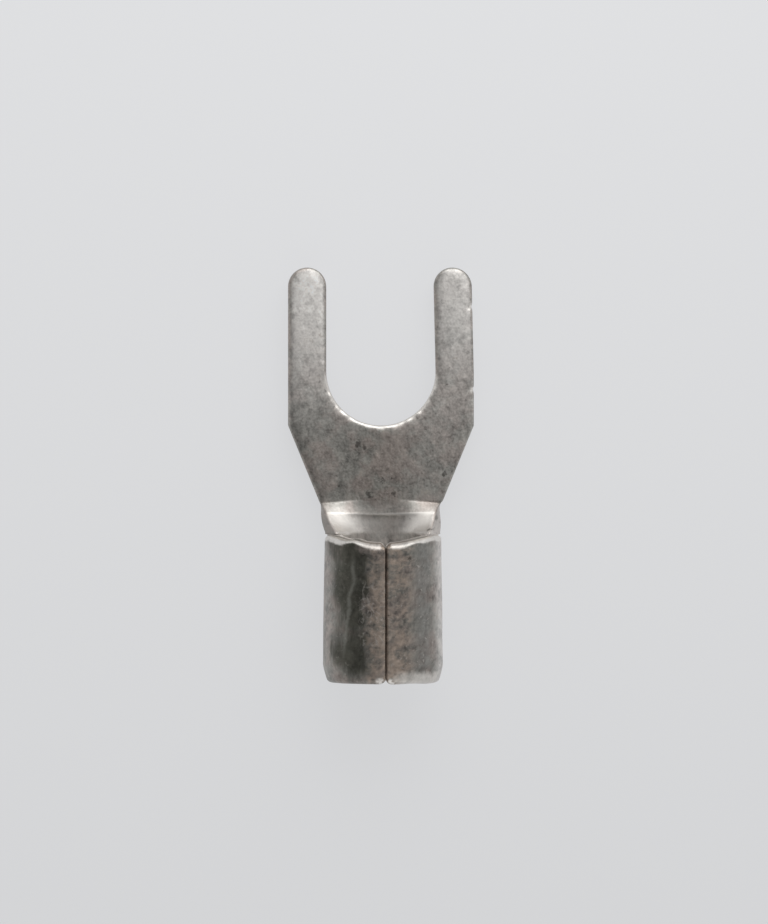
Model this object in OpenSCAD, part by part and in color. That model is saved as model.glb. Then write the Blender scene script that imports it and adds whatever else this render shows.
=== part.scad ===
// Fork terminal: one piece of blanked copper sheet. A flat fork slides under a screw head,
// a short curled neck drops to a barrel, and the barrel is rolled up round the bared wire.
// Sizes are in millimetres. The origin is the screw's centre, on the face that seats on the
// terminal block. +Y runs along the prongs to their tips and +Z is the side with the seam.

/* [Sheet] */
// Thickness of the copper sheet
sheet_t = 0.8; // [0.7:0.05:1]
// Radius that blanking and tumbling leave along the edges of the fork
edge_r = 0.12; // [0.06:0.01:0.16]

/* [Fork] */
// Width across both prongs
fork_w = 9; // [8.4:0.1:11]
// Width of the slot between the prongs, for the screw's shank
slot_w = 5.3; // [4.3:0.1:5.6]
// Length from the screw's centre to the prong tips
prong_len = 5.15; // [4:0.05:8]
// Length from the screw's centre to the corners of the shoulders, which sets their taper
shoulder_len = 2.5; // [1:0.1:3.4]
// Length from the screw's centre to the line where the neck starts to curl
bend_len = 6.15; // [5:0.05:8]
// Width of the sheet on that line
bend_w = 6; // [5.85:0.05:6.6]

/* [Neck] */
// Length of the curled neck, from the flat fork to the barrel
neck_len = 1.75; // [1.4:0.05:2.4]
// Width of the sheet at the neck's narrowest, measured round its curve
waist_w = 5.7; // [5.4:0.05:5.8]
// How far the barrel's underside lies below the fork's
barrel_drop = 0.15; // [0.1:0.05:0.6]

/* [Barrel] */
// Outside diameter of the barrel at the neck
barrel_d = 5.6; // [5.4:0.05:6.4]
// How much larger the outside diameter grows towards the wire end
barrel_flare = 0.14; // [0.04:0.02:0.2]
// Length of the barrel along its underside
barrel_len = 7; // [5:0.05:10]
// How far the rim leans back from the middle of the barrel up to the seam
rim_lean = 0.5; // [0.3:0.02:0.9]
// Length of the coined taper at the wire end
taper_len = 0.9; // [0.5:0.05:1.2]
// How much the taper takes off the barrel's radius
taper_h = 0.25; // [0.1:0.01:0.32]
// Radius of the outer corner that coining leaves at the wire end
mouth_r = 0.2; // [0.1:0.02:0.24]
// Size of the funnel at the mouth, which leads the wire in
funnel_h = 0.14; // [0.06:0.02:0.2]

/* [Seam] */
// Gap between the sheet's two ends where they meet
seam_gap = 0.1; // [0.06:0.01:0.16]
// Radius of the sheet's ends along the seam, and of their corners
seam_r = 0.2; // [0.1:0.02:0.3]
// Angle of the seam off the barrel's crown, towards +X
seam_angle = 3; // [0:0.5:6]

/* [Hidden] */
$fn = 96;

// How far every cutting shape runs past what it cuts
overrun = 0.5;
// How deep the neck's ends are set into the fork and into the barrel's wall
embed_len = 0.2;
// What forming takes off each face of the neck's sheet at the fork, and twice that at the barrel
neck_thinning = 0.03;

// Fork
prong_w = (fork_w - slot_w) / 2;
prong_r = prong_w / 2;
prong_x = slot_w / 2 + prong_r;
tip_y = prong_len - prong_r;
shoulder = [fork_w / 2, -shoulder_len];
bend = [bend_w / 2, -bend_len];
shoulder_run = (bend - shoulder) / norm(bend - shoulder) * overrun;
// An edge's arc is struck a little wide, so that it meets both faces at a faint corner
arc_share = 1.04;

// Barrel
barrel_r = barrel_d / 2;
bore_r = barrel_r - sheet_t;
middle_r = barrel_r - sheet_t / 2;
wire_r = barrel_r + barrel_flare / 2;
mouth_steps = 4;
axis_z = barrel_r - barrel_drop;
front_y = -bend_len - neck_len;
rear_y = front_y - barrel_len;

// Neck: the sheet's curvature grows evenly from flat to the barrel's own
// Angle round from the barrel's underside at which the neck's edges run out into the rim
rim_turn = 76;
rim_half_w = middle_r * rim_turn * PI / 180;
neck_steps = 14;
across_steps = 22;
corner_steps = 3;
side_count = across_steps - 1;
corner_count = 2 * corner_steps + 2;
ring_count = 2 * (corner_count + side_count);
// Share of the neck's length by which it is fully rolled
roll_share = 0.92;
// Share of the neck's length over which its edges run in to the waist
waist_share = 0.3;
// How late the edges of the neck turn out into the rim
rim_power = 6;

// v is the share of the neck's length, from the fork to the barrel
function ease(t) = t * t * (3 - 2 * t);
function roll(v) = min(1, v / roll_share);
function thinning(v) = neck_thinning * (1 + v);
function drop(v) = barrel_drop * ease(v);
function half_width(v) =
    waist_w / 2
    + (bend_w - waist_w) / 2 * pow(max(0, 1 - v / waist_share), 2)
    + (rim_half_w - waist_w / 2) * pow(roll(v), rim_power)
    - neck_thinning * (1 - v);

// The section laid flat: u runs across the sheet and n through its thickness, and the four
// corners are rounded. The points run anticlockwise from the lower right corner.
function flat_corner(s, h, su, sn, from) =
    [for (i = [0 : corner_steps])
        let (a = from + i * 90 / corner_steps)
        [su * (s - edge_r) + edge_r * cos(a), sn * (h - edge_r) + edge_r * sin(a)]];
function flat_side(s, n, way) =
    [for (i = [1 : side_count]) [way * (s - edge_r) * (2 * i / across_steps - 1), n]];
function flat_section(s, h) = concat(
    flat_corner(s, h, 1, -1, -90), flat_corner(s, h, 1, 1, 0), flat_side(s, h, -1),
    flat_corner(s, h, -1, 1, 90), flat_corner(s, h, -1, -1, 180), flat_side(s, -h, 1));

// A point of the section once it is rolled to the radius r, or left flat
function rolled(u, n, r) =
    let (a = u / r * 180 / PI) [(r - n) * sin(a), sheet_t / 2 + r - (r - n) * cos(a)];
function ring(y, v) =
    [for (p = flat_section(half_width(v), sheet_t / 2 - thinning(v)))
        let (q = v > 0 ? rolled(p[0], p[1], middle_r / roll(v)) : [p[0], sheet_t / 2 + p[1]])
        [q[0], y, q[1] - drop(v)]];

// The strip of faces that closes a ring, from its right corners across to its left ones
function ring_pair(j) = (corner_count - 1 - j + ring_count) % ring_count;
function ring_cap(at, way) =
    [for (j = [corner_count / 2 : corner_count + side_count + corner_count / 2 - 2])
        let (a = at + j, b = at + j + 1, c = at + ring_pair(j + 1), d = at + ring_pair(j))
        each way > 0 ? [[a, b, c], [a, c, d]] : [[a, c, b], [a, d, c]]];

module fork_outline() {
    difference() {
        union() {
            polygon([
                [-fork_w / 2, tip_y], [-fork_w / 2, -shoulder_len], [-bend_w / 2, -bend_len],
                [bend_w / 2, -bend_len], [fork_w / 2, -shoulder_len], [fork_w / 2, tip_y]
            ]);
            for (side = [-1, 1]) translate([side * prong_x, tip_y]) circle(r = prong_r);
        }
        circle(d = slot_w);
        translate([-slot_w / 2, 0]) square([slot_w, prong_len + overrun]);
    }
}

// What rounding takes off an edge that is at the origin, with the sheet below it to the left
module edge_waste() {
    translate([-edge_r, -edge_r]) difference() {
        square(edge_r + overrun);
        circle(r = edge_r * arc_share);
    }
}

// The waste of a straight edge from p to q, with the sheet on its right
module straight_waste(p, q) {
    translate(p) rotate([0, 0, atan2(q[1] - p[1], q[0] - p[0]) + 90]) rotate([90, 0, 0])
        linear_extrude(norm(q - p)) edge_waste();
}

// The waste of the fork's edges on one face, for its right half
module half_edges_waste() {
    straight_waste([fork_w / 2, tip_y], shoulder - [0, overrun]);
    straight_waste(shoulder - shoulder_run, bend + shoulder_run);
    straight_waste([slot_w / 2, 0], [slot_w / 2, tip_y]);
    translate([prong_x, tip_y]) rotate_extrude(angle = 180) translate([prong_r, 0]) edge_waste();
}

module face_edges_waste() {
    half_edges_waste();
    mirror([1, 0, 0]) half_edges_waste();
    rotate([0, 0, 180]) rotate_extrude(angle = 180)
        translate([slot_w / 2, 0]) mirror([1, 0]) edge_waste();
}

module fork() {
    difference() {
        linear_extrude(sheet_t) fork_outline();
        translate([0, 0, sheet_t]) face_edges_waste();
        mirror([0, 0, 1]) face_edges_waste();
    }
}

// The rings stand closer together towards the barrel, where the edges turn out
module neck() {
    shares = [for (i = [0 : neck_steps]) 1 - pow(1 - i / neck_steps, 1.4)];
    rings = concat(
        [ring(-bend_len + embed_len, 0)],
        [for (v = shares) ring(-bend_len - v * (neck_len + neck_thinning), v)],
        [ring(front_y - embed_len, 1)]);
    last = len(rings) - 1;
    polyhedron([for (r = rings) each r], concat(
        [for (i = [0 : last - 1], j = [0 : ring_count - 1])
            let (a = i * ring_count + j, b = i * ring_count + (j + 1) % ring_count)
            each [[a, a + ring_count, b + ring_count], [a, b + ring_count, b]]],
        ring_cap(0, 1),
        ring_cap(last * ring_count, -1)));
}

// Half of the barrel's section, with the axis up the page and the neck's end at the bottom
module barrel_profile() {
    mouth_corner = [for (i = [0 : mouth_steps])
        let (a = 90 * i / mouth_steps)
        [wire_r - taper_h - mouth_r * (1 - cos(a)), barrel_len - mouth_r * (1 - sin(a))]];
    polygon(concat(
        [[bore_r, 0], [barrel_r, 0], [wire_r, barrel_len - taper_len]],
        mouth_corner,
        [[bore_r + funnel_h, barrel_len], [bore_r, barrel_len - funnel_h]]));
}

// What leaves the rim leaning back from the middle of the barrel up to the seam
module rim_waste() {
    past = rim_lean * (1 + overrun / barrel_r);
    translate([-fork_w / 2, 0, 0]) rotate([90, 0, 90]) linear_extrude(fork_w) polygon([
        [front_y + overrun, axis_z], [front_y, axis_z],
        [front_y - past, axis_z + barrel_r + overrun],
        [front_y + overrun, axis_z + barrel_r + overrun]
    ]);
}

// The space between two sheet ends whose corners are rounded, with its mouth upwards
module lips_waste() {
    difference() {
        translate([-seam_gap / 2 - seam_r, -seam_r])
            square([seam_gap + 2 * seam_r, seam_r + overrun]);
        for (side = [-1, 1])
            translate([side * (seam_gap / 2 + seam_r), -seam_r]) circle(r = seam_r);
    }
}

// The seam's gap, and the rounding of the ends along it
module seam_waste() {
    rotate([90, 0, 0]) linear_extrude(barrel_len + 2 * overrun) {
        translate([-seam_gap / 2, 0]) square([seam_gap, barrel_r]);
        translate([0, barrel_r]) lips_waste();
    }
}

// The notch that the sheet's rounded corners leave at an end of the seam
module notch_waste() {
    linear_extrude(barrel_r + overrun) lips_waste();
}

module barrel() {
    difference() {
        translate([0, front_y, axis_z]) rotate([90, 0, 0]) rotate_extrude() barrel_profile();
        rim_waste();
        translate([0, 0, axis_z]) rotate([0, seam_angle, 0]) {
            translate([0, front_y + overrun, 0]) seam_waste();
            translate([0, front_y - rim_lean, 0]) notch_waste();
            translate([0, rear_y, 0]) mirror([0, 1, 0]) notch_waste();
        }
    }
}

module fork_terminal() {
    color("silver") {
        fork();
        neck();
        barrel();
    }
}

fork_terminal();
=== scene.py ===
import math

import bpy
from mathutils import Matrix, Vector, noise


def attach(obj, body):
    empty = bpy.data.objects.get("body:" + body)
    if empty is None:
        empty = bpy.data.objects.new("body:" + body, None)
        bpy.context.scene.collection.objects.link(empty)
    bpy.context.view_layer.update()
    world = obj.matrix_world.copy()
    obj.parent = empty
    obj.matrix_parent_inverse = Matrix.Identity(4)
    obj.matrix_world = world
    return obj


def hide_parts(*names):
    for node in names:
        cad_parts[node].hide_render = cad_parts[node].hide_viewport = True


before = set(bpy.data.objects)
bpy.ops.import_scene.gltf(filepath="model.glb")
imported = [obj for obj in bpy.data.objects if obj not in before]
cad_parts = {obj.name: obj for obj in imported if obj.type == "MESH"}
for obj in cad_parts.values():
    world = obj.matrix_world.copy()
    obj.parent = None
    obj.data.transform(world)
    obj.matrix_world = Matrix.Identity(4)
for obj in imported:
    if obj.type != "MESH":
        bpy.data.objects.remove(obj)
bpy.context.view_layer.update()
bpy.ops.object.select_all(action="DESELECT")

# The terminal's blank
# A flat blank, punched in one blow from copper strip: two prongs, a palm, a waisted neck and
# the wide flap that is rolled into the barrel. Drawn in millimetres, on the face that seats.
sheet = 0.8
slot_radius = 2.65
slot_end = 0.15
half_width = 4.5
prong_tip = 5.147
shoulder_y = -2.5
bend_y = -6.15
bend_half_width = 3.0
waist_half_width = 2.86
waist_share = 0.3
neck_end_half_width = 3.18
right_hollow = 0.09
neck_length = 1.64
neck_points = 28
barrel_length = 7.11
barrel_radius = 2.8
seam_gap = 0.01
seam_turn = math.radians(3)
flap_step = 0.14
flap_corner = 0.32

middle_radius = barrel_radius - sheet / 2
prong_radius = (half_width - slot_radius) / 2
rim_y = bend_y - neck_length
mouth_y = rim_y - barrel_length


def arc(centre_x, centre_y, radius, first, last, steps):
    turns = [math.radians(first + (last - first) * i / steps) for i in range(steps + 1)]
    return [(centre_x + radius * math.cos(t), centre_y + radius * math.sin(t)) for t in turns]


def neck_half_width(share, side):
    run_in = (bend_half_width - waist_half_width) * max(0, 1 - share / waist_share) ** 2
    even = waist_half_width + run_in + (neck_end_half_width - waist_half_width) * share**2
    return even - right_hollow * math.sin(math.pi * share) ** 0.5 if side > 0 else even


def flap_half_width(side):
    return middle_radius * (math.pi - side * seam_turn) - seam_gap / 2


def half_outline(side):
    flap = flap_half_width(side)
    shares = [i / neck_points for i in range(1, neck_points)]
    neck = [(neck_half_width(share, side), bend_y - neck_length * share) for share in shares]
    return (
        arc(0, slot_end, slot_radius, -90, 0, 40)
        + arc(slot_radius + prong_radius, prong_tip - prong_radius, prong_radius, 180, 0, 40)
        + [(half_width, shoulder_y), (bend_half_width, bend_y)]
        + neck
        + [(neck_end_half_width, rim_y), (neck_end_half_width + flap_step, rim_y)]
        + arc(flap - flap_corner, rim_y - flap_corner, flap_corner, 90, 0, 6)
        + arc(flap - flap_corner, mouth_y + flap_corner, flap_corner, 0, -90, 6)
    )


outline = half_outline(1) + [(-x, y) for x, y in reversed(half_outline(-1))][:-1]
bpy.ops.mesh.primitive_circle_add(vertices=len(outline), radius=1, fill_type="NGON")
terminal = bpy.context.object
terminal.name = "formed_terminal"
for vertex, (x, y) in zip(terminal.data.vertices, outline):
    vertex.co = (x, y, 0)
bpy.ops.object.mode_set(mode="EDIT")
bpy.ops.mesh.select_all(action="SELECT")
bpy.ops.mesh.extrude_region_move(TRANSFORM_OT_translate={"value": (0, 0, sheet)})
bpy.ops.mesh.select_all(action="SELECT")
bpy.ops.mesh.normals_make_consistent(inside=False)

# The tumbled edges
# Blanking leaves the edges of both faces sharp. The copper blank is tumbled before it is
# rolled, which rounds them all alike.
edge_radius = 0.12
bpy.ops.mesh.select_mode(type="EDGE")
bpy.ops.mesh.select_all(action="DESELECT")
bpy.ops.object.mode_set(mode="OBJECT")
for edge in terminal.data.edges:
    start, end = (terminal.data.vertices[i].co for i in edge.vertices)
    edge.select = abs(start.z - end.z) < sheet / 2
bpy.ops.object.mode_set(mode="EDIT")
bpy.ops.mesh.bevel(
    offset=edge_radius, offset_type="OFFSET", segments=4, affect="EDGES", clamp_overlap=False
)

# Cut into fine cells, closest where the sheet is curled into the neck, and clear of its corners
cell = 0.12
neck_cell = 0.05
column_shift = 0.37
row_shift = 0.04
column_count = round(2 * middle_radius * math.pi / cell) + 2
columns = [(i - column_count / 2 + column_shift) * cell for i in range(column_count)]
rows = []
next_row = mouth_y + row_shift
while next_row < prong_tip:
    rows.append(next_row)
    next_row += neck_cell if rim_y - 0.35 < next_row < bend_y + 0.25 else cell
for column in columns:
    bpy.ops.mesh.select_all(action="SELECT")
    bpy.ops.mesh.bisect(plane_co=(column, 0, 0), plane_no=(1, 0, 0), threshold=1e-5)
for row in rows:
    bpy.ops.mesh.select_all(action="SELECT")
    bpy.ops.mesh.bisect(plane_co=(0, row, 0), plane_no=(0, 1, 0), threshold=1e-5)
bpy.ops.object.mode_set(mode="OBJECT")

# The forming
# The press bends and curls the copper neck and rolls the flap round a mandrel until its two
# lips meet at the seam, where nothing joins them. In what follows s is the way across the flat
# blank, y the way along it, and height the place in the sheet, from the seating face up.
rolled_by = 0.92
barrel_drop = 0.15
first_drop = 0.34
barrel_aside = 0.1
rim_lean = 0.44
rim_lean_right = 0.41
rim_bump = 0.08
rim_bump_place = 1.4
flare = 0.067
taper_length = 0.9
taper_depth = 0.25
rim_rounding = 0.28
mouth_rounding = 0.2
funnel_length = 0.3
funnel_depth = 0.12
curled_width = 2.0
die_mark = 0.006
sharp_roll = 0.065
wide_roll = 0.068
wide_roll_reach = 0.8
prong_lean = math.radians(1.3)
nicks = (3.25, -0.75)
nick_depth = 0.08

# A point on the rim's own line belongs to the barrel
barrel_top = rim_y + 0.001


def ease(t):
    t = min(1, max(0, t))
    return t * t * (3 - 2 * t)


def peak(distance, width):
    return math.exp(-((distance / width) ** 2))


def rounding(distance, radius):
    reach = max(0, radius - max(0, distance))
    return radius - math.sqrt(radius * radius - reach * reach)


def ripple(s, y, size, seed):
    return noise.noise(Vector((s / size, y / size, seed)))


def in_slot_arc(s, y):
    return y < 0.6 and math.hypot(s, y - slot_end) < slot_radius + 0.4


def to_slot(s, y):
    return math.hypot(s, min(0, y - slot_end)) - slot_radius


def to_outside(s, y):
    along = shoulder_y - bend_y
    across = half_width - bend_half_width
    to_shoulder = (half_width - abs(s)) * along + (y - shoulder_y) * across
    return min(half_width - abs(s), to_shoulder / math.hypot(along, across))


def to_edge(s, y):
    tip_y = prong_tip - prong_radius
    to_tip = prong_radius - math.hypot(abs(s) - slot_radius - prong_radius, max(0, y - tip_y))
    return max(0, min(to_outside(s, y), to_slot(s, y), to_tip if y > tip_y else half_width))


def rolled_over(s, y):
    torn = 1.5 if in_slot_arc(s, y) else 0.7
    depth, reach = (0.75, 0.6) if y > prong_tip - prong_radius else (1, 0.36)
    uneven = 1 + torn * ripple(s, y, 0.3, 5.2)
    sharp = sharp_roll * depth * uneven * max(0, 1 - to_edge(s, y) / reach) ** 2
    to_left_edge = to_outside(s, y) if s < 0 else to_slot(s, y)
    share = 1 if s < 0 else min(1, s / slot_radius)
    return sharp + share * wide_roll * max(0, 1 - max(0, to_left_edge) / wide_roll_reach) ** 2


def bend_line(s):
    outwards = (s / bend_half_width) ** 2
    return bend_y + 0.11 - 0.36 * outwards / (1 + 0.3 * outwards)


def step_line(s):
    outwards = (s / bend_half_width) ** 2
    return bend_y - 0.65 + 0.13 * outwards / (1 + 0.3 * outwards)


def neck_share(s, y):
    return (bend_line(s) - y) / (bend_line(s) - rim_y)


def lip_distance(s):
    return flap_half_width(1 if s > 0 else -1) - abs(s)


def fork_place(s, y, height):
    lean = math.tan(prong_lean) * max(0, y) if s > 0 else 0
    nick = sum(peak(math.hypot((y - at) / 0.1, (s - 4.45) / 0.2), 1) for at in nicks)
    fades = min(1, (y - bend_line(s)) / 0.3) if height > sheet / 2 else 0
    return s - lean - 0.05 * nick, y, height - (rolled_over(s, y) + nick_depth * nick) * fades


def coined_height(s, y, height):
    """The height from the sheet's middle, once its outer rims are rounded and its mouth coined."""
    to_lip = lip_distance(s)
    to_mouth = y - mouth_y
    if y < barrel_top and to_lip < edge_radius and height < edge_radius * 1.01:
        height *= 0.4
    on_flap = min(1, max(0, abs(s) - neck_end_half_width + 0.05) / 0.35)
    to_crown = 0.35 + 0.65 * ease(abs(s) / middle_radius - 1.5)
    uneven = rim_rounding * (1 + 0.7 * ripple(s, 0, 0.7, 4.4))
    lip_rounding = 0.09 if s > 0 else 0.11
    taper = taper_depth * max(0, 1 - to_mouth / taper_length) ** 1.2
    worn = math.hypot(
        rounding(rim_y - y, uneven) * on_flap * to_crown,
        0.6 * rounding(to_lip, lip_rounding) if y < rim_y + 0.1 else 0,
        rounding(to_mouth, mouth_rounding) + taper,
    )
    opened = funnel_depth * max(0, 1 - to_mouth / funnel_length) ** 1.5
    low = -sheet / 2 + min(0.5, worn)
    high = sheet / 2 - opened
    return low + height / sheet * (high - low)


def dropped(s, share):
    """The step down from the fork's level, part of it at the bend and the rest past the mark."""
    mark_share = max(0.1, (bend_line(s) - step_line(s)) / (bend_line(s) - rim_y))
    first = min(1, share / mark_share)
    second = max(0, (share - mark_share) / (1 - mark_share))
    return barrel_drop * (first_drop * first + (1 - first_drop) * (1 - (1 - second) ** 2))


def rolled_place(s, y, height):
    share = min(1, neck_share(s, y))
    along = max(0, (rim_y - y) / barrel_length)
    radius = middle_radius / min(1, share / rolled_by) ** 0.95
    uneven = 0.02 * ripple(s, y, 1.6, 3.1) * ease((rim_y - y) / 0.5)
    wider = flare * along * (1 + 0.5 * math.sin(s / radius) ** 2)
    mark = die_mark * peak(y - step_line(s), 0.05) if height > sheet / 2 else 0
    reach = radius - coined_height(s, y, height) + wider + uneven - mark

    # The neck's free edges stay straight, since nothing bends them, and meet the rim abruptly
    side = 1 if s > 0 else -1
    straight = max(0, abs(s) - curled_width) * side * ease((y - rim_y) / 0.06)
    turn = (s - straight) / radius
    x = reach * math.sin(turn) + straight * math.cos(turn) + barrel_aside * ease(share)
    z = sheet / 2 + radius - reach * math.cos(turn) + abs(straight * math.sin(turn))

    # The rim leans back over the bore's upper part, and both ends of the barrel are uneven
    if y < barrel_top:
        lean, upright = (rim_lean_right, 0.45) if s > 0 else (rim_lean, 0.3)
        back = max(0, (-math.cos(turn) - upright) / (1 - upright)) ** 1.4
        bump = rim_bump * peak(lip_distance(s) - rim_bump_place, 0.4) * max(0, 1 - 4 * along)
        at_rim = 0.03 * ripple(s, 0, 0.8, 7.7)
        at_mouth = 0.024 + 0.03 * ripple(s, 9, 1.1, 1.3)
        y -= lean * back * reach / barrel_radius * (1 - along)
        y += (bump if s < 0 else 0) + at_rim * (1 - along) + at_mouth * along
    return x, y, z - dropped(s, share)


blank_points = [vertex.co.copy() for vertex in terminal.data.vertices]
for vertex, (s, y, height) in zip(terminal.data.vertices, blank_points):
    flat_there = neck_share(s, y) <= 0
    vertex.co = fork_place(s, y, height) if flat_there else rolled_place(s, y, height)
terminal.scale = (0.001, 0.001, 0.001)
bpy.ops.object.select_all(action="DESELECT")
terminal.select_set(True)
bpy.context.view_layer.objects.active = terminal
bpy.ops.object.transform_apply(location=True, rotation=True, scale=True)
bpy.ops.object.shade_smooth()

# The tin finish
# Electro-tinned copper, handled and a little tarnished, with light and shade painted into its
# colour: painted highlights in the neck, along the rim and at the slot and nicks, partly where the
# dies rubbed it; painted shade from the prong tips to the palm, along the left edges, over the
# lens past the bend and right of the seam; dull and brownish on the barrel, painted lighter low
# on its flanks, and dark green-grey left of the seam, partly a stain and partly painted shade.
# Each rule says how much of one kind of wear or of painted light and shade a point of the blank
# has, and is kept on the mesh.
cut_low = edge_radius * 0.9
cut_high = sheet - edge_radius * 0.9
outer_half = sheet * 0.45


def band(value, low, high, soft):
    return ease((value - low) / soft + 0.5) * ease((high - value) / soft + 0.5)


def to_neck_edge(s, y):
    if y <= barrel_top:
        return 1
    share = min(1, max(0, neck_share(s, y)))
    return neck_half_width(share, s) - abs(s)


# Painted highlights on the barrel's outside, partly also where the dies rubbed it: a bright band
# along the rim, bright spots at the mouth's corners by the seam, and a lighter sweep right of the
# seam near the mouth
def outside_rubs_and_highlights(s, y):
    lip = lip_distance(s)
    on_flap = ease((abs(s) - neck_end_half_width) / 0.4) * ease((lip - 0.08) / 0.2)
    wide = 0.25 - 0.09 * peak(lip - rim_bump_place, 0.35) + 0.1 * ripple(s, 0, 0.7, 4.4)
    rim = on_flap * band(rim_y - y, -1, wide, 0.08) * (0.75 - 0.2 * band(lip, 0.15, 1.0, 0.3))
    mouth_corner = band(y - mouth_y, -1, 0.3, 0.15) * band(lip, 0.1, 0.42, 0.15)
    ragged = 0.8 + 1.2 * ripple(s, y, 0.15, 8.8)
    swept = 0.6 * band(y - mouth_y, -1, 0.6, 0.5) * band(s, 4.5, 7.0, 0.8)
    return max(rim, mouth_corner * ragged, swept)


# Painted highlights: a bright line along the torn round end of the slot, and bright glints at the
# nicks on the right prong's outer edge
def fork_edge_highlights(s, y):
    torn = ease(1.1 - to_edge(s, y) / 0.24) * ease(0.3 - y / 0.8) if in_slot_arc(s, y) else 0
    nick_glint = max(peak(y - at, 0.1) for at in nicks) if s > 4.25 else 0
    return max(torn, nick_glint)


# Painted highlights in the neck, partly where the dies also rubbed it: a band over the lens past the
# bend, brighter corners at both sides, a sheen over the scoop, and bright lines at the bend and at
# the die mark; none inside the barrel
def neck_rubs_and_highlights(s, y):
    below_bend = ease((bend_line(s) - y) / 0.2 + 0.5)
    in_scoop = ease((step_line(s) - y) / 0.12 + 0.5)
    lens = 0.14 + 0.18 * ease((bend_line(s) - y - 0.15) / 0.25)
    corners = max(0.17 * band(s, -9, -2.1, 1.1), 0.14 * band(s, 2.4, 9, 0.8))
    rippled = 0.2 * max(0, ripple(s, y, 0.5, 2.2)) * ease(s)
    scoop_sheen = 0.32 + (0.22 if s < 0 else 0.34) * ease((abs(s) - 0.5) / 1.5) - rippled
    at_mark = (0.35 + 0.5 * ease(s + 0.5)) * peak(y - step_line(s), 0.045)
    fades = ease((abs(s) - 0.6) / 0.8) * ease((2.4 - abs(s)) / 0.6)
    at_bend = 0.3 * peak(y - bend_line(s) + 0.04, 0.04) * fades
    shine = below_bend * (lens + corners) * (1 - in_scoop) + in_scoop * scoop_sheen
    inside = ease((to_neck_edge(s, y) - 0.02) / 0.14) * (1 - ease((rim_y + 0.12 - y) / 0.2))
    return (shine + at_mark + at_bend) * inside


# Painted highlights, partly also where the dies really rubbed the tin: how far a point is lightened
# towards near-white tin
def rubbed_and_highlighted(s, y, height):
    if cut_low < height < cut_high:
        return 0
    if height < outer_half:
        return outside_rubs_and_highlights(s, y)
    return fork_edge_highlights(s, y) if y > bend_y + 0.5 else neck_rubs_and_highlights(s, y)


# Painted shade: the fork darker from the prong tips down to the palm and a little towards the right,
# and darker along its edges, most along those facing left
def painted_fork_shade(s, y, height):
    to_right = 0.18 * ease((s + 1) / 2)
    right_of_palm = 0.12 * ease((s - 0.3) / 2) * ease((-y - 0.5) / 1.5)
    painted_lighter = right_of_palm + 0.06 * ease((-s - 0.3) / 2)
    even = (to_right + (1 - to_right) * ease((4.4 - y) / 8.4)) * (1 - painted_lighter)
    on_left_side = -half_width < s < -slot_radius - prong_radius
    right_of_slot = slot_radius < s < slot_radius + 0.4
    reach = 0.24 if on_left_side or right_of_slot else 0.16
    painted_edge_shade = 0.9 * ease(1.2 - to_edge(s, y) / reach) * (1 - rubbed_and_highlighted(s, y, height))
    return max(even, painted_edge_shade)


# Painted shade and light in the neck: dark over the lens past the bend, lighter in the scoop and
# inside the bore, darker again low in its middle and lighter low on its left, and darker along the
# neck's free edges
def painted_neck_shade(s, y):
    lens = 1 - 0.07 * ease((bend_line(s) - y) / 0.1)
    down = ease((step_line(s) - y) / 0.6 - 0.2)
    scoop = lens - 0.63 * ease((step_line(s) - y) / 0.5)
    scoop += down * (0.37 * band(s, -1.9, 2.5, 0.9) - 0.33 * ease(-s - 1.6))
    return max(scoop, 0.85 * ease(1.2 - to_neck_edge(s, y) / 0.14))


# Tarnish and painted shade: painted shade on the fork and in the neck, and a dull, tarnished barrel
# that is painted lighter towards its lower flanks, most on the right
def tarnish_and_shade_at(s, y, height):
    if y > bend_y:
        return painted_fork_shade(s, y, height)
    # Painted shade: the neck's left cut face darker than its right
    if cut_low < height < cut_high and y > barrel_top:
        return 0.9 if s < 0 else 0.6
    if height > outer_half:
        return painted_neck_shade(s, y)
    painted_lighter = 0.1 + 0.38 * ease((s + 2.5) / 5)
    return 1 - painted_lighter * ease((lip_distance(s) - 2.1) / 0.9)


# A dark green-grey stain left of the seam, deepened with painted shade on the barrel's dark left
# side, a painted shadow line under the rim, and a little painted shade on the neck's cut faces
def green_stain_and_shade(s, y, height):
    if cut_low < height < cut_high and barrel_top < y < bend_y:
        return 0.3
    if height > outer_half or y > barrel_top or s > 0:
        return 0
    lip = lip_distance(s)
    below_rim = rim_y - y
    start = 0.35 + 0.22 * band(y, -12.9, -10.4, 0.8) + 0.35 * ripple(s, y, 0.6, 6.3)
    start += 0.5 * band(below_rim, -1, 0.5, 0.3)
    end = 3.05 + 0.5 * band(below_rim, -1, 1.0, 0.8)
    deepest = ease((lip - start) / 0.8) * (0.72 + 0.28 * ease((1.9 - lip) / 0.5))
    to_mouth = 0.12 + 0.88 * ease((y - mouth_y - 0.1) / 1.3)
    near_rim = 1 + 0.4 * band(below_rim, 0.2, 1.0, 0.4) * ease((lip - 1.2) / 0.5)
    rim_shadow = band(lip, 1.1, 2.9, 0.4) * peak(below_rim - 0.31, 0.06)
    return max(deepest * ease((end - lip) / 1.1) * to_mouth * near_rim, rim_shadow)


# Painted shade: a darker grey band on the barrel, right of the seam
def painted_shade_right_of_seam(s, y, height):
    if height > outer_half or y > barrel_top or s < 0:
        return 0
    return band(lip_distance(s), 1.25, 2.05, 1.2) * ease((y - mouth_y) / 0.8)


def browned(s, y, height):
    if height > outer_half or y > barrel_top:
        return 0
    lip = lip_distance(s)
    wide = band(lip, -1, 1.25, 1.3) if s > 0 else band(lip, -1, 0.95, 0.9)
    in_seam = ease(1.25 - lip / (0.16 if s > 0 else 0.08))
    notch = ease((0.4 - math.hypot(lip, y - rim_y)) / 0.2)
    return max(0.6 * wide, in_seam, notch)


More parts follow.
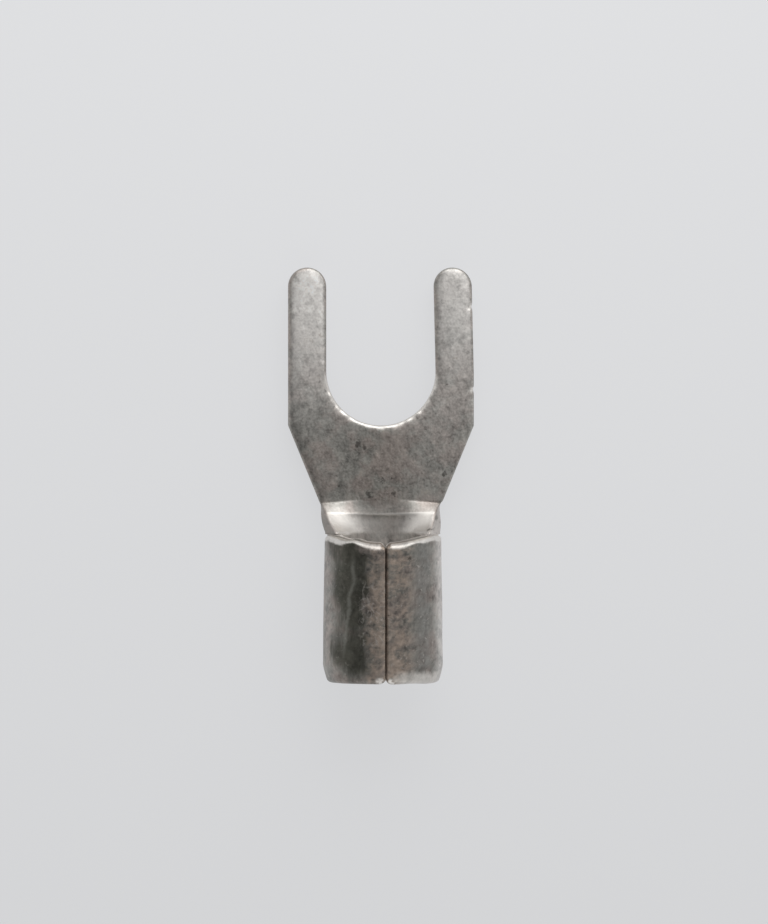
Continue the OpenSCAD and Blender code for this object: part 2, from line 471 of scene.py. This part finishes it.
# The larger dents, each with its place on the blank and its size
fork_dents = [(-1.1, -3.4, 0.2), (-0.8, -3.6, 0.15), (3.05, -4.9, 0.14), (-0.6, -5.8, 0.18)]
fork_dents += [(0.6, -5.8, 0.16), (0.1, -5.2, 0.14), (2.9, -7.52, 0.14)]
barrel_dents = [(6.4, -8.6, 0.17), (7.3, -11.4, 0.1), (-7.2, -10.9, 0.12)]


def dented(s, y, height):
    if (y > barrel_top) != (height > sheet / 2):
        return 0
    dents = fork_dents + barrel_dents
    return max(peak(math.hypot(s - at_s, y - at_y), size) for at_s, at_y, size in dents)


rules = {
    "burnish": rubbed_and_highlighted,
    "tarnish": tarnish_and_shade_at,
    "green": green_stain_and_shade,
    "grey": painted_shade_right_of_seam,
    "brown": browned,
    "pitting": dented,
}
layers = terminal.data.attributes
layers.new("flat", "FLOAT_VECTOR", "POINT")
layers["flat"].data.foreach_set("vector", [value for point in blank_points for value in point])
for name, rule in rules.items():
    layers.new(name, "FLOAT", "POINT")
    layers[name].data.foreach_set("value", [rule(*point) for point in blank_points])


class Wire:
    """A value of a finish: sums on it add Math nodes, and node() adds any other node."""

    def __init__(self, tree, socket=None):
        self.tree = tree
        self.socket = socket

    def node(self, kind, settings, values, output=0):
        made = self.tree.nodes.new(kind)
        for name, setting in settings.items():
            if name == "stops":
                elements = made.color_ramp.elements
                while len(elements) < len(setting):
                    elements.new(0.5)
                for element, (position, color) in zip(elements, setting):
                    element.position = position
                    element.color = color
            else:
                setattr(made, name, setting)
        for name, value in values.items():
            if isinstance(value, Wire):
                self.tree.links.new(value.socket, made.inputs[name])
            else:
                made.inputs[name].default_value = value
        return Wire(self.tree, made.outputs[output])

    def feed(self, socket):
        self.tree.links.new(self.socket, socket)

    def maths(self, operation, one, two=0):
        return self.node("ShaderNodeMath", {"operation": operation}, {0: one, 1: two})

    def __add__(self, other):
        return self.maths("ADD", self, other)

    def __sub__(self, other):
        return self.maths("SUBTRACT", self, other)

    def __rsub__(self, other):
        return self.maths("SUBTRACT", other, self)

    def __mul__(self, other):
        return self.maths("MULTIPLY", self, other)

    __radd__ = __add__
    __rmul__ = __mul__


metal = bpy.data.materials.new("tin_finish")
metal.use_nodes = True
shader = metal.node_tree.nodes["Principled BSDF"]
tin = Wire(metal.node_tree)


def layer(name, output="Fac"):
    return tin.node("ShaderNodeAttribute", {"attribute_name": name}, {}, output)


def grain(scale, detail, rough, twist=0.0, at=None):
    values = {"Vector": at or flat, "Scale": scale, "Detail": detail}
    values |= {"Roughness": rough, "Distortion": twist}
    return tin.node("ShaderNodeTexNoise", {}, values, "Fac")


def stretched(scale, turn=0.0):
    values = {"Vector": flat, "Scale": scale, "Rotation": (0, 0, turn)}
    return tin.node("ShaderNodeMapping", {"vector_type": "TEXTURE"}, values)


def over(value, low, high):
    values = {"Value": value, "From Min": low, "From Max": high}
    return tin.node("ShaderNodeMapRange", {"interpolation_type": "SMOOTHSTEP"}, values)


def blend(share, one, two):
    return tin.node("ShaderNodeMix", {"data_type": "RGBA"}, {0: share, 6: one, 7: two}, 2)


flat = layer("flat", "Vector")
burnish = layer("burnish")
tarnish = layer("tarnish")
green = layer("green")
grey = layer("grey")
brown = layer("brown")
pitting = layer("pitting")
across = tin.node("ShaderNodeSeparateXYZ", {}, {"Vector": flat}, "X")
along = tin.node("ShaderNodeSeparateXYZ", {}, {"Vector": flat}, "Y")
on_fork = over(along, rim_y - 0.1, rim_y + 0.1)
in_neck = on_fork * over(along, -6.0, -6.3)

# Mottling at three sizes, about a millimetre, a third and a ninth long, and drawn-out streaks
broad = grain(0.9, 3, 0.6)
middle = grain(3.4, 3, 0.6, 0.4)
fine = grain(9, 1, 0.5)
streaks = grain(1, 3, 0.6, 0.3, stretched((0.16, 0.6, 1), 0.5))
drawn = grain(1, 2, 0.5, 0.6, stretched((0.18, 0.9, 1)))
wandering = grain(0.55, 1, 0.5)
large = (0.9 - 0.35 * on_fork) * (broad - 0.5) + (1 - 0.3 * on_fork) * (middle - 0.5)
mottle = large + (0.2 + 0.3 * on_fork) * (fine - 0.5) + 0.4 * (streaks - 0.5)
blotches = 1.5 * (broad - 0.5) + 1.5 * (middle - 0.5)
grey_blotches = 1.6 * (broad - 0.5) + 1.2 * (middle - 0.5)
green_blotches = 1.6 * (wandering - 0.5) + 0.8 * (broad - 0.5) + 0.6 * (middle - 0.5)

# The tin itself, warmer and cooler in patches, and the films of tarnish and of painted shade over it
warmth = over(grain(0.8, 3, 0.65), 0.4, 0.6)
dull = blend(warmth, (0.281, 0.273, 0.25, 1), (0.315, 0.277, 0.252, 1))
tarnished_and_shaded_tin = blend(tarnish, (0.95, 0.92, 0.885, 1), dull)
brown_share = over(brown + blotches, 0.2, 1.0)
browned_tin = blend(brown_share, tarnished_and_shaded_tin, (0.35, 0.284, 0.236, 1))
grey_share = over(grey + grey_blotches, 0.1, 1.0) * 0.85
shaded_right_of_seam_tin = blend(grey_share, browned_tin, (0.185, 0.183, 0.173, 1))
green_edge = over(green + green_blotches + 0.9 * (drawn - 0.5), 0.15, 0.85)
green_share = green_edge * over(green, 0, 0.2) * 0.92
green_stained_and_shaded_tin = blend(green_share, shaded_right_of_seam_tin, (0.086, 0.086, 0.071, 1))
strength = (0.85 + 0.75 * tarnish) * (1 - 0.9 * burnish) * (1 - 0.3 * green) * (1 - 0.5 * in_neck)
seam_dirt = 1 - 0.28 * over(brown, 0.75, 1.0)
tone = (1 + mottle * strength + tarnish * (drawn - 0.5) * 0.5) * seam_dirt
toned_tin = tin.node("ShaderNodeVectorMath", {"operation": "SCALE"}, {0: green_stained_and_shaded_tin, "Scale": tone})

# The scrape that the curling die left along the dark side of the barrel
wave = tin.maths("COSINE", 3.9 * (along + 9.75)) * over(along, -11.6, -10.6)
off_line = tin.maths("ABSOLUTE", across - (-7.37 - 0.116 * along - 0.08 * wave))
scrape_length = over(along, -13.9, -12.5) * over(along, -8.5, -9.1)
scrape = over(off_line + 0.3 * (middle - 0.5), 0.15, 0.0) * scrape_length
scraped_tin = blend(scrape * 0.5, toned_tin, (0.3, 0.3, 0.27, 1))
# Painted highlights, partly also real rubbing: the tin lightened towards near-white where the
# highlight layer is
rubbed_and_highlighted_tin = blend(over(burnish + mottle * 0.5, 0.1, 0.9), scraped_tin, (0.78, 0.75, 0.71, 1))

# Light specks all over, hairlines on the fork, and curls beside the seam, left of it
specks = over(grain(6, 1, 0.5, 0.8), 0.66, 0.76) * (0.35 - 0.2 * on_fork) * (1 - 0.8 * green)
hairs = over(grain(1, 1, 0.5, 0.6, stretched((0.06, 0.25, 1), 1.1)), 0.64, 0.76) * on_fork
curls = over(grain(1, 2, 0.6, 2.2, stretched((0.3, 0.6, 1))), 0.5, 0.7)
by_seam = over(brown, 0.02, 0.3) * over(across, -5, -6)
by_seam = by_seam * over(along, -13.4, -12.6) * over(along, -9.2, -10.2)
light_marks = specks + hairs * 0.35 + curls * by_seam * 0.5
marked_tin = blend(light_marks * (0.3 + 0.7 * tarnish), rubbed_and_highlighted_tin, (0.62, 0.58, 0.54, 1))

# Small dark pits all over, and the larger dents
pits = over(1 - grain(4.5, 2, 0.6, 0.4) + 0.3 * pitting, 0.68, 0.78)
small_pits = pits * (0.25 + 0.3 * tarnish) * (0.6 + 0.4 * on_fork) * (1 - 0.7 * burnish)
dents = over(pitting + 1.4 * (middle - 0.5) + 0.8 * (fine - 0.5), 0.6, 0.95) * 0.75
pitted_tin = blend(tin.maths("MAXIMUM", small_pits, dents), marked_tin, (0.05, 0.045, 0.04, 1))
pitted_tin.feed(shader.inputs["Base Color"])

# Satin, a little smoother where it is rubbed and where highlights are painted, with a relief of a
# few thousandths of a millimetre
roughness = 0.42 - burnish * 0.04 + (middle - 0.5) * 0.3
roughness.feed(shader.inputs["Roughness"])
relief = {"Strength": 1.0, "Distance": 0.000006, "Height": 0.6 * middle + 0.3 * fine + 0.4 * broad}
tin.node("ShaderNodeBump", {}, relief).feed(shader.inputs["Normal"])
shader.inputs["Metallic"].default_value = 1

terminal.data.materials.append(metal)
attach(terminal, "root")
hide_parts("fork_terminal")

# The floor
# A pale sheet of paper: what the camera and the metal see of it is lit evenly, as in the photo,
# but for a painted soft shadow towards the bottom of the page, and only a share of it takes the
# object's soft shadow.
floor_level = -0.0006
even_light = 0.8
pale_grey = (0.735, 0.742, 0.757)
painted_shadow_slope = 2.2
bpy.ops.mesh.primitive_plane_add(size=2, location=(0, 0, floor_level))
floor = bpy.context.object
floor.name = "floor"
paper = bpy.data.materials.new("paper")
paper.use_nodes = True
pulp = paper.node_tree.nodes["Principled BSDF"]
pulp.inputs["Base Color"].default_value = (0.8, 0.8, 0.81, 1)
pulp.inputs["Roughness"].default_value = 0.9
pulp.inputs["Specular IOR Level"].default_value = 0
page = Wire(paper.node_tree)
on_page = page.node("ShaderNodeTexCoord", {}, {}, "Object")
up_the_page = page.node("ShaderNodeSeparateXYZ", {}, {"Vector": on_page}, "Y")
# The painted soft shadow: the glow darker towards the bottom of the page
lighter = {0: pale_grey, "Scale": 1 + painted_shadow_slope * up_the_page}
shade = page.node("ShaderNodeVectorMath", {"operation": "SCALE"}, lighter)
glow = page.node("ShaderNodeEmission", {}, {"Color": shade})
by_camera = page.node("ShaderNodeLightPath", {}, {}, "Is Camera Ray")
by_metal = page.node("ShaderNodeLightPath", {}, {}, "Is Glossy Ray")
share = even_light * page.maths("MAXIMUM", by_camera, by_metal)
matt = Wire(paper.node_tree, pulp.outputs[0])
shown = page.node("ShaderNodeMixShader", {}, {0: share, 1: matt, 2: glow})
shown.feed(paper.node_tree.nodes["Material Output"].inputs["Surface"])
floor.data.materials.append(paper)

# The light
# A soft, plain room: dim overhead and to the left, brighter low on the right and behind the
# prongs, which the rounded metal shows as broad bands, and one small soft lamp behind the tips.
world = bpy.data.worlds.new("room")
bpy.context.scene.world = world
world.use_nodes = True
room = Wire(world.node_tree)
direction = room.node("ShaderNodeTexCoord", {}, {}, "Generated")


def levels(output, stops):
    part = room.node("ShaderNodeSeparateXYZ", {}, {0: direction}, output)
    greys = [(position, (level, level, level, 1)) for position, level in stops]
    return room.node("ShaderNodeValToRGB", {"stops": greys}, {"Fac": 0.5 * part + 0.5})


left_to_middle = [(0, 0.6), (0.07, 0.4), (0.2, 0.1), (0.35, 0.14), (0.5, 0.44)]
middle_to_right = [(0.75, 0.32), (0.92, 0.36), (0.98, 0.8), (1, 1.2)]
front_to_back = [(0, 0.7), (0.25, 0.15), (0.45, 0), (0.57, 0), (0.75, 0.42), (0.95, 0.9)]
all_round = levels("X", left_to_middle + middle_to_right) + levels("Y", front_to_back)
background = world.node_tree.nodes["Background"]
all_round.feed(background.inputs["Color"])
background.inputs["Strength"].default_value = 1

bpy.ops.object.light_add(type="AREA", location=(0.012, 0.055, 0.05))
lamp = bpy.context.object
lamp.data.size = 0.07
lamp.data.energy = 0.018
lamp.rotation_euler = (-lamp.location).to_track_quat("-Z", "Y").to_euler()

# The camera
# It looks straight down from 0.3 m through a long lens, as in the photo, with the terminal a
# little above the middle of the frame.
camera_height = 0.3
seen_length = 0.04485
camera_data = bpy.data.cameras.new("camera")
camera_data.sensor_width = 36
camera_data.lens = camera_data.sensor_width * camera_height / seen_length
camera = bpy.data.objects.new("camera", camera_data)
bpy.context.scene.collection.objects.link(camera)
camera.location = (0.00015, -0.00427, camera_height)
bpy.context.scene.camera = camera
bpy.context.scene.view_settings.view_transform = "Standard"
